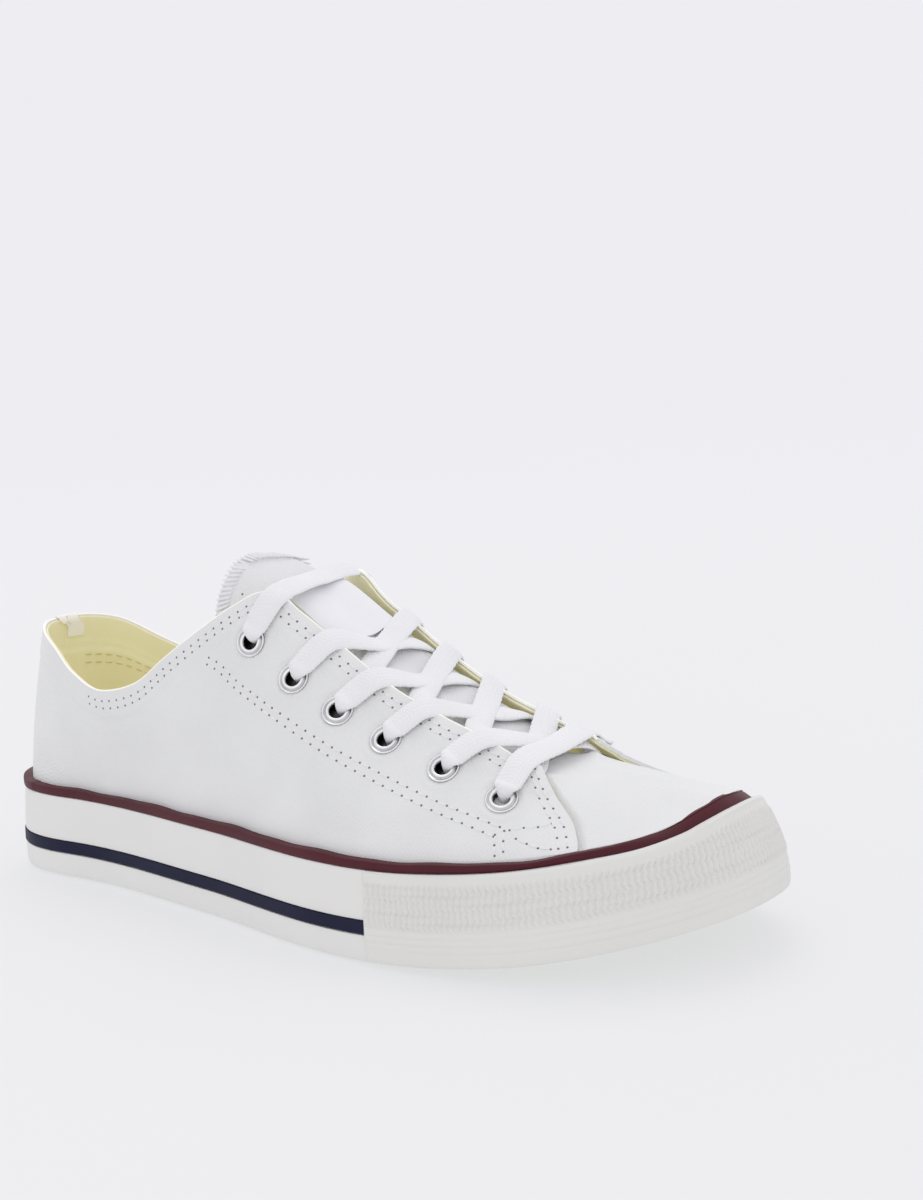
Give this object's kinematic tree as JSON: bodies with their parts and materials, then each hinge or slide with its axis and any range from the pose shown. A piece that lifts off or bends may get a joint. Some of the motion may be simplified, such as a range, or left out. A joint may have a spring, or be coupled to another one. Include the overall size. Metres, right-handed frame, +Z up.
{
  "type": "canvas sneaker",
  "caption": "Low white canvas lace-up shoe for the right foot, with a striped rubber sidewall, a textured toe bumper and a flat cross-laced throat.",
  "frame": {"origin": "on the floor, under the middle of the shoe's box", "axes": "+X towards the toe, +Y towards the inner side of the right foot, +Z up"},
  "size_m": [0.2814, 0.104, 0.109],
  "materials": {
    "canvas": "white plain-weave cotton canvas",
    "lining": "pale yellow cotton lining",
    "lace": "flat woven white cotton lace",
    "sole_rubber": "matt moulded rubber tread",
    "sidewall_rubber": "smooth ivory rubber",
    "bumper_rubber": "ivory rubber with a fine diamond texture",
    "maroon_rubber": "dark maroon satin rubber",
    "navy_rubber": "dark navy satin rubber",
    "eyelet_metal": "nickel-plated pressed metal"
  },
  "bodies": {
    "root": {"outsole": "sole_rubber", "foxing": "sidewall_rubber", "toe_bumper": "bumper_rubber", "upper_stripe": "maroon_rubber", "lower_stripe": "navy_rubber", "insole": "lining", "upper": "canvas", "tongue": "canvas", "eyelet_lateral_1": "eyelet_metal", "eyelet_lateral_2": "eyelet_metal", "eyelet_lateral_3": "eyelet_metal", "eyelet_lateral_4": "eyelet_metal", "eyelet_lateral_5": "eyelet_metal", "eyelet_lateral_6": "eyelet_metal", "eyelet_medial_1": "eyelet_metal", "eyelet_medial_2": "eyelet_metal", "eyelet_medial_3": "eyelet_metal", "eyelet_medial_4": "eyelet_metal", "eyelet_medial_5": "eyelet_metal", "eyelet_medial_6": "eyelet_metal", "lace_bar_1": "lace", "lace_cross_2": "lace", "lace_cross_3": "lace", "lace_cross_4": "lace", "lace_cross_5": "lace", "lace_bar_6": "lace"}
  },
  "joints": []
}
